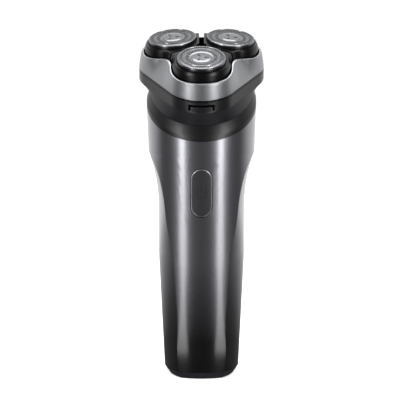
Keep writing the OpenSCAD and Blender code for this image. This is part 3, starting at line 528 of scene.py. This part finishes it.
def lobedEdge(radius, angle):
    spread, hollow, t = shaver["lobeSpread"], shaver["hollow"], fold(angle)
    m = hollowMiddle(radius)
    w = radius / (radius + hollow)
    start = math.degrees(math.atan2(m * math.sin(math.radians(60)) * w, mix(spread, m / 2, w)))
    tr, u = math.radians(t), math.radians(60 - t)
    if t < start:
        return spread * math.cos(tr) + math.sqrt(radius ** 2 - (spread * math.sin(tr)) ** 2)
    return m * math.cos(u) - math.sqrt(max(0.0, hollow ** 2 - (m * math.sin(u)) ** 2))


def ringPoint(radius, angle, h):
    return Vector((radius * math.cos(angle), radius * math.sin(angle), h))


def collarPoint(radius, angle, rise):
    x, y = radius * math.cos(angle), radius * math.sin(angle)
    return Vector((x, y, shaver["bodyHeight"] + rise + collarLine(y)))


def sweptProfile(columns, ringPoints):
    # a closed band through rings of points, the last joined to the first
    bm = bmesh.new()
    count = len(ringPoints)

    def place(u, v):
        return ringPoints[round(v * count) % count](u * 2 * math.pi)

    mapGrid(bm, columns, count, place, closed=True)
    return bm


def softenRows(bm, offsets):
    for row, offset in offsets.items():
        soften(bm, edgesOnRow(bm, row), offset, 3)


# collar
collar = {"columns": 192, "lip": 2.3, "rise": 6.3, "spigot": 4.0, "spigotRadius": 22.4, "spigotWall": 1.1,
          "gap": 0.12, "inset": 0.02, "step": 0.3, "softLip": 0.35, "softTop": 0.3}
base = shaver["bodyTop"]
neckBase = shaver["bodyTop"] - shaver["neckStep"]
inner = collar["spigotRadius"] - collar["spigotWall"]
bm = sweptProfile(collar["columns"], [
    lambda a: collarPoint(base - collar["inset"], a, collar["gap"]),
    lambda a: collarPoint(base, a, collar["lip"]),
    lambda a: collarPoint(neckBase, a, collar["rise"]),
    lambda a: collarPoint(neckBase - shaver["band"], a, collar["rise"]),
    lambda a: collarPoint(inner, a, collar["lip"] - collar["step"]),
    lambda a: collarPoint(inner, a, -collar["spigot"]),
    lambda a: collarPoint(collar["spigotRadius"], a, -collar["spigot"]),
    lambda a: collarPoint(collar["spigotRadius"], a, collar["gap"]),
])
softenRows(bm, {1: collar["softLip"], 2: collar["softTop"]})
finishPiece("collar", bm, Matrix.Identity(4), [glossBlack], "handle", ["collar_ring"])
print("collar made")

# neck: a satin cone under a gloss band, with the latch's window and the hinge ears
neck = {"columns": 216, "edge": 0.3, "ledge": 19.6, "seat": 21.85, "wallLow": -4.7, "ledgeTop": -6.45,
        "ledgeLow": -7.95, "seatGap": 0.05, "softBand": 0.5, "windowHalf": 6.05, "windowLow": -4.2,
        "windowTop": -1.2, "nearSide": 2.0, "nearBelow": 0.6, "frontDepth": -20.0}
ears = {"in": 4.1, "out": 8.5, "radius": 1.7, "sides": 48, "hingeOut": 25.2, "hingeRise": -1.6, "soft": 0.2,
        "webIn": 1.35, "webDown": 0.1, "webDeep": 2.4, "webHigh": 2.6, "webShort": 0.2, "webSoft": 0.15}
fromBody = headTurn.inverted()
lobe = shaver["lobeRadius"]
neckRings = [
    lambda a: fromBody @ collarPoint(neckBase, a, collar["rise"] + neck["seatGap"]),
    lambda a: ringPoint(triangleEdge(lobe, a), a, -shaver["bandHeight"]),
    lambda a: ringPoint(triangleEdge(lobe, a), a, -neck["edge"]),
    lambda a: ringPoint(triangleEdge(lobe - neck["edge"], a), a, 0.0),
    lambda a: ringPoint(triangleEdge(lobe - shaver["band"], a), a, 0.0),
    lambda a: ringPoint(triangleEdge(lobe - shaver["band"], a), a, neck["wallLow"]),
    lambda a: ringPoint(neck["seat"], a, neck["ledgeTop"]),
    lambda a: ringPoint(neck["ledge"], a, neck["ledgeTop"]),
    lambda a: ringPoint(neck["ledge"], a, neck["ledgeLow"]),
    lambda a: fromBody @ collarPoint(neckBase - shaver["band"], a, collar["rise"] + neck["seatGap"]),
]
bm = sweptProfile(neck["columns"], neckRings)
for face in facesAfterRow(bm, 0, len(neckRings)):
    face.material_index = 1
softenRows(bm, {1: neck["softBand"]})


def frontFaces(half, low, high):
    # faces of the band's front whose middles lie in a window
    picked = []
    for face in bm.faces:
        middle = face.calc_center_median()
        if middle.y < neck["frontDepth"] and abs(middle.x) < half and low < middle.z < high:
            picked.append(face)
    return picked


# cut the band's faces along the window's four sides, take out what lies inside, and join the two walls
sideCuts = [((x, 0, 0), (1, 0, 0)) for x in (neck["windowHalf"], -neck["windowHalf"])]
levelCuts = [((0, 0, z), (0, 0, 1)) for z in (neck["windowLow"], neck["windowTop"])]
for place, across in sideCuts + levelCuts:
    near = frontFaces(neck["windowHalf"] + neck["nearSide"], neck["windowLow"] - neck["nearBelow"], 0.0)
    around = list({e for f in near for e in f.edges}) + list({v for f in near for v in f.verts})
    bmesh.ops.bisect_plane(bm, geom=near + around, dist=0.0001, plane_co=place, plane_no=across)
window = frontFaces(neck["windowHalf"], neck["windowLow"], neck["windowTop"])
bmesh.ops.delete(bm, geom=window, context="FACES")
bmesh.ops.bridge_loops(bm, edges=[e for e in bm.edges if e.is_boundary])
for side in (-1, 1):
    length = ears["out"] - ears["in"]
    hinge = Matrix.Translation((side * (ears["in"] + ears["out"]) / 2, ears["hingeOut"], ears["hingeRise"]))
    ear = bmesh.ops.create_cone(
        bm, cap_ends=True, segments=ears["sides"], radius1=ears["radius"], radius2=ears["radius"],
        depth=length, matrix=hinge @ Matrix.Rotation(math.pi / 2, 4, "Y"))
    rims = [e for e in edgesOf(ear) if {len(f.verts) for f in e.link_faces} == {4, ears["sides"]}]
    soften(bm, rims, ears["soft"], 2)
    web = bmesh.ops.create_cube(
        bm, size=1.0, matrix=hinge @ Matrix.Translation((0, -ears["webIn"], -ears["webDown"]))
        @ Matrix.Diagonal((length - ears["webShort"], ears["webDeep"], ears["webHigh"], 1.0)))
    soften(bm, edgesOf(web), ears["webSoft"], 2)
finishPiece("neck", bm, headTurn, [bandBlack, satinBlack], "handle", ["neck_shell"], 28)
print("neck made")

# trim ring: plated, with a flute in each hollow between the lobes
trim = {"columns": 240, "rows": 14, "low": 0.95, "lobeHigh": 8.6, "valleyHigh": 11.2, "valleyFrom": 22,
        "valleyTo": 60, "bow": 1.25, "wall": 1.0,
        "softTop": 0.6, "softFoot": 0.2}


def trimHigh(angle):
    climb = (fold(angle) - trim["valleyFrom"]) / (trim["valleyTo"] - trim["valleyFrom"])
    return mix(trim["lobeHigh"], trim["valleyHigh"], stepUp(climb))


def trimRing(w, inset):
    # the ring of points a share w of the way up
    def place(a):
        reach = mix(triangleEdge(lobe, a), lobedEdge(shaver["trimRadius"], a), w ** trim["bow"])
        return ringPoint(reach - inset, a, mix(trim["low"], trimHigh(a), w))

    return place


outside = [trimRing(k / trim["rows"], 0.0) for k in range(trim["rows"] + 1)]
inside = [trimRing(k / trim["rows"], trim["wall"]) for k in range(trim["rows"], -1, -1)]
bm = sweptProfile(trim["columns"], outside + inside)
softenRows(bm, {trim["rows"]: trim["softTop"], 0: trim["softFoot"]})
finishPiece("trim_band", bm, headTurn, [silverTrim], "head", ["trim_ring"], 40)
print("trim ring made")

# cutter caps: a pressed steel cap with two slotted tracks and a coined centre
cap = {"columns": 120, "slotEvery": 2, "slotDepth": 0.32, "faceLow": -0.1,
       "tracks": ((5.8, 7.4), (8.6, 10.0)), "carrierTop": -0.55, "wall": 0.5, "side": 0.6, "radius": 11.1,
       "flange": 11.75, "flangeTop": -3.5, "flangeLow": -4.1, "spindle": 0.9, "spindleLow": -2.5,
       "markOut": 2.3, "markLong": 1.9, "markWide": 0.8, "markHigh": 0.24, "markBase": 0.2, "markSoft": 0.1}
outerRadius = cap["radius"]
innerRadius = cap["radius"] - cap["side"]
# radius and height of each bend, from the middle of the face out, down the side and back under
capProfile = [
    (0.0, 0.22), (2.6, 0.2), (4.35, 0.15), (4.6, 0.0), (4.8, -0.12), (5.1, -0.12), (5.4, 0.0), (5.8, 0.03),
    (7.4, 0.03), (7.7, 0.0), (7.85, -0.2), (8.2, -0.2), (8.4, 0.0), (8.6, 0.03), (10.0, 0.03), (10.2, -0.05),
    (10.3, -0.2), (10.45, -0.2), (10.55, 0.0), (outerRadius - 0.35, 0.03), (outerRadius - 0.1, -0.12),
    (outerRadius, cap["carrierTop"]), (outerRadius, cap["flangeTop"]), (cap["flange"], cap["flangeTop"]),
    (cap["flange"], cap["flangeLow"]), (innerRadius, cap["flangeLow"]), (innerRadius, -cap["wall"]),
    (cap["spindle"], -cap["wall"]), (cap["spindle"], cap["spindleLow"]), (0.0, cap["spindleLow"]),
]


def capSpot(u, v):
    radius, height = capProfile[round(v * (len(capProfile) - 1))]
    return ringPoint(radius, u * 2 * math.pi, height)


for side in sideAngles:
    bm = bmesh.new()
    mapGrid(bm, cap["columns"], len(capProfile) - 1, capSpot)
    slots = []
    for face in bm.faces:
        middle = face.calc_center_median()
        reach = math.hypot(middle.x, middle.y)
        column = int(math.degrees(math.atan2(middle.y, middle.x)) % 360 * cap["columns"] / 360)
        onTrack = any(low < reach < high for low, high in cap["tracks"])
        if middle.z > cap["faceLow"] and column % cap["slotEvery"] == 0 and onTrack:
            slots.append(face)
    pressed = bmesh.ops.extrude_discrete_faces(bm, faces=slots)["faces"]
    floorVerts = list({v for f in pressed for v in f.verts})
    bmesh.ops.translate(bm, vec=(0, 0, -cap["slotDepth"]), verts=floorVerts)
    # the slot floors take the painted shade
    for face in pressed:
        face.material_index = 1
    for face in bm.faces:
        if face.calc_center_median().z < cap["carrierTop"]:
            face.material_index = 2
    for turn in range(3):
        place = (Matrix.Rotation(math.radians(90 + 120 * turn), 4, "Z")
                 @ Matrix.Translation((cap["markOut"], 0, cap["markBase"]))
                 @ Matrix.Diagonal((cap["markLong"], cap["markWide"], cap["markHigh"], 1.0)))
        mark = bmesh.ops.create_cube(bm, size=1.0, matrix=place)
        for face in {f for v in mark["verts"] for f in v.link_faces}:
            face.material_index = 1
        soften(bm, edgesOf(mark), cap["markSoft"], 2)
    # the map that the turning marks follow
    radiusMap = bm.loops.layers.uv.new("radius_map")
    for face in bm.faces:
        for loop in face.loops:
            spot = loop.vert.co
            loop[radiusMap].uv = (math.atan2(spot.y, spot.x) / (2 * math.pi), math.hypot(spot.x, spot.y) * mm)
    finishPiece("cap_" + side, bm, cutterTurn(side), [cutterSteel, slotShadeAndCapMark, capCarrier], "cap_" + side,
                ["cutter_cap_" + side], 30)
print("cutter caps made")

# power key: a crowned pill that follows the sleeve's front, with a flange behind and a printed mark
key = {"points": 96, "wide": 10.0, "high": 22.0, "middle": 87.0, "flange": 1.2, "flangeFront": -20.55,
       "flangeBack": -19.75, "soft": 0.35, "proud": 0.12, "crown": (0.15, 0.35, 0.6, 0.8, 1.0), "weld": 0.002,
       "markRadius": 2.3, "markWire": 0.32, "markGap": 35.0, "markSteps": 40, "markLift": 0.04,
       "markZone": 10.0, "barMiddle": 0.72, "barLong": 1.1}


def pillPoint(angle, grow):
    # a point of the key's outline, grown or shrunk by a margin
    radius = max(0.0, key["wide"] / 2 + grow)
    straight = (key["high"] - key["wide"]) / 2
    up = straight if math.sin(angle) > 0 else -straight
    return radius * math.cos(angle), key["middle"] + up + radius * math.sin(angle)


def keyRing(grow, sink=None, depth=None):
    points = []
    for k in range(key["points"]):
        x, z = pillPoint(2 * math.pi * (k + 0.5) / key["points"], grow)
        points.append(onBody(x, z, sink) if depth is None else Vector((x, depth, z)))
    return points


bm = bmesh.new()
half = key["wide"] / 2
soft = key["soft"]
keyRings = [keyRing(-half, depth=key["flangeBack"]), keyRing(key["flange"], depth=key["flangeBack"]),
            keyRing(key["flange"], depth=key["flangeFront"]), keyRing(0.0, depth=key["flangeFront"]),
            keyRing(0.0, sink=soft), keyRing(-0.3 * soft, sink=0.3 * soft), keyRing(-soft, sink=0.0)]
keyRings += [keyRing(-soft - (half - soft) * w, sink=-key["proud"] * math.sin(w * math.pi / 2))
             for w in key["crown"]]
lastRing = None
for points in keyRings:
    ring = placedRing(bm, points)
    if lastRing:
        bmesh.ops.bridge_loops(bm, edges=ringEdges(lastRing) + ringEdges(ring))
    lastRing = ring
bmesh.ops.remove_doubles(bm, verts=bm.verts, dist=key["weld"])
# bright edge, next to the outermost ring
for face in bm.faces:
    x, y, z = face.calc_center_median()
    straight = max(0.0, abs(z - key["middle"]) - (key["high"] - key["wide"]) / 2)
    if y < key["flangeFront"] - 1 and half - soft < math.hypot(x, straight) < half - 0.15 * soft:
        face.material_index = 2
# the mark, an open ring and a bar, is made round the origin and then laid on the key
startAngle = math.radians(90 + key["markGap"])
startPlace = ringPoint(key["markRadius"], startAngle, 0)
startTurn = Matrix.Rotation(startAngle - math.pi / 2, 4, (0, -1, 0)) @ Matrix.Rotation(math.pi / 2, 4, "Y")
profile = bmesh.ops.create_circle(
    bm, segments=8, radius=key["markWire"] / 2,
    matrix=Matrix.Translation((startPlace.x, 0, startPlace.y)) @ startTurn)["verts"]
bmesh.ops.spin(bm, geom=profile + ringEdges(profile), cent=(0, 0, 0), axis=(0, -1, 0),
               angle=math.radians(360 - 2 * key["markGap"]), steps=key["markSteps"], use_merge=False)
bmesh.ops.create_cube(
    bm, size=1.0, matrix=Matrix.Translation((0, 0, key["markRadius"] * key["barMiddle"]))
    @ Matrix.Diagonal((key["markWire"], key["markWire"], key["markRadius"] * key["barLong"], 1.0)))
markVerts = {v for v in bm.verts if abs(v.co.z) < key["markZone"]}
for vert in markVerts:
    height = key["middle"] + vert.co.z
    lift = key["markLift"] if vert.co.y < 0 else -key["markLift"]
    vert.co = onBody(vert.co.x, height, -key["proud"] - lift)
for face in bm.faces:
    if all(v in markVerts for v in face.verts):
        face.material_index = 1
keyFinishes = [keyBlack, keyMark, silverTrim]
finishPiece("key", bm, Matrix.Identity(4), keyFinishes, "power_key", ["power_button"], 40)
print("power key made")

# stage: a white sweep behind and below, dark surroundings in front, and a strip light each side
stage = {"floor": 8.0, "cameraBack": 1.0, "cameraTilt": math.radians(7.7), "aimHeight": 0.08, "lens": 191.36,
         "dark": "#1c1c1e", "white": "#ffffff", "glow": 0.6, "paintedFrontShade": 0.02, "lit": 0.9,
         "darkTo": 0.05, "whiteFrom": 0.4, "worldStrength": 1.0, "stripTurn": math.radians(42),
         "stripAway": 0.8, "stripWide": 0.17, "stripHigh": 0.7, "stripGlow": 11.0, "floorGlow": 2.8,
         "floorStrips": [(0.07, 0.26, 0.04), (0.27, 0.8, 0.11)], "topGlow": 4.5}
floorMesh = bpy.data.meshes.new("studio_floor")
bm = bmesh.new()
bmesh.ops.create_grid(bm, x_segments=1, y_segments=1, size=stage["floor"])
bm.to_mesh(floorMesh)
bm.free()
# white paper to the eye; in reflections its colour is painted shade in front, dark as flags round a set would
# make it though there are none, and it has a painted glow that grows towards the back
floorPaper, floorSurface = startMaterial("white_studio_paper", {
    "Roughness": 0.9, "Emission Color": linearColour(stage["white"])})
sight = addNode(floorPaper, "ShaderNodeLightPath")
place = addNode(floorPaper, "ShaderNodeTexCoord")
split = addNode(floorPaper, "ShaderNodeSeparateXYZ", links={"Vector": place.outputs["Object"]})
# painted shade in front and painted glow behind, set by distance along Y, for every ray but the camera's
behind = addNode(floorPaper, "ShaderNodeMapRange", {
    "From Min": stage["darkTo"], "From Max": stage["whiteFrom"], "To Min": stage["paintedFrontShade"],
    "To Max": stage["lit"]}, {"Value": split.outputs["Y"]})
paper = addNode(floorPaper, "ShaderNodeMix", {
    "data_type": "RGBA", 6: linearColour(stage["dark"]), 7: linearColour(stage["white"])},
    {0: sight.outputs["Is Camera Ray"]})
glow = addNode(floorPaper, "ShaderNodeMix", {"data_type": "FLOAT", 3: stage["glow"]},
               {0: sight.outputs["Is Camera Ray"], 2: behind.outputs[0]})
linkInput(floorPaper, floorSurface, "Base Color", paper.outputs[2])
linkInput(floorPaper, floorSurface, "Emission Strength", glow.outputs[0])
floorMesh.materials.append(floorPaper)
floor = bpy.data.objects.new("studio_floor", floorMesh)
bpy.context.scene.collection.objects.link(floor)
floor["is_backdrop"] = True

world = bpy.data.worlds.new("studio_world")
world.use_nodes = True
around = addNode(world, "ShaderNodeTexCoord")
split = addNode(world, "ShaderNodeSeparateXYZ", links={"Vector": around.outputs["Generated"]})
behind = addNode(world, "ShaderNodeMapRange", {"From Min": -0.2, "From Max": 0.45},
                 {"Value": split.outputs["Y"]})
shade = addNode(world, "ShaderNodeValToRGB", links={"Fac": behind.outputs[0]})
rampStops(shade, [(0.0, stage["dark"]), (1.0, stage["white"])])
seen = addNode(world, "ShaderNodeLightPath")
backdrop = addNode(world, "ShaderNodeMix", {"data_type": "RGBA", 7: linearColour(stage["white"])},
                   {0: seen.outputs["Is Camera Ray"], 6: shade.outputs[0]})
background = world.node_tree.nodes["Background"]
background.inputs["Strength"].default_value = stage["worldStrength"]
linkInput(world, background, "Color", backdrop.outputs[2])
bpy.context.scene.world = world
bpy.context.scene.view_settings.view_transform = "Standard"


def softBox(name, place, turn, wide, high, glow):
    # an area light of even brightness, hidden from the camera
    light = bpy.data.lights.new(name, "AREA")
    light.shape = "RECTANGLE"
    light.size, light.size_y, light.energy = wide, high, glow * math.pi * wide * high
    lamp = bpy.data.objects.new(name, light)
    lamp.location, lamp.rotation_euler, lamp.visible_camera = place, turn, False
    bpy.context.scene.collection.objects.link(lamp)
    lamp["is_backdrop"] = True


for name, side in (("left", -1), ("right", 1)):
    turn, reach = side * stage["stripTurn"], stage["stripAway"]
    toward = Vector((math.sin(turn), -math.cos(turn), 0))
    softBox(name + "_strip", toward * reach + Vector((0, 0, stage["stripHigh"] / 2)), (math.pi / 2, 0, turn),
            stage["stripWide"], stage["stripHigh"], stage["stripGlow"])
    # the same strip carried on along the floor to the shaver's foot
    for part, (near, far, wide) in enumerate(stage["floorStrips"]):
        softBox(name + "_floor_strip_" + str(part), toward * (near + far) / 2 + Vector((0, 0, 0.001)),
                (math.pi, 0, turn), wide, far - near, stage["floorGlow"])
softBox("top_box", (0, 0.1, 0.9), (0, 0, 0), 0.7, 0.5, stage["topGlow"])

camera = bpy.data.cameras.new("camera")
camera.lens = stage["lens"]
camera.sensor_width = 36.0
eye = bpy.data.objects.new("camera", camera)
tilt = stage["cameraTilt"]
eye.location = (0, -stage["cameraBack"] * math.cos(tilt),
                stage["aimHeight"] + stage["cameraBack"] * math.sin(tilt))
eye.rotation_euler = (math.pi / 2 - tilt, 0, 0)
bpy.context.scene.collection.objects.link(eye)
bpy.context.scene.camera = eye
print("stage set")

low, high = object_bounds()
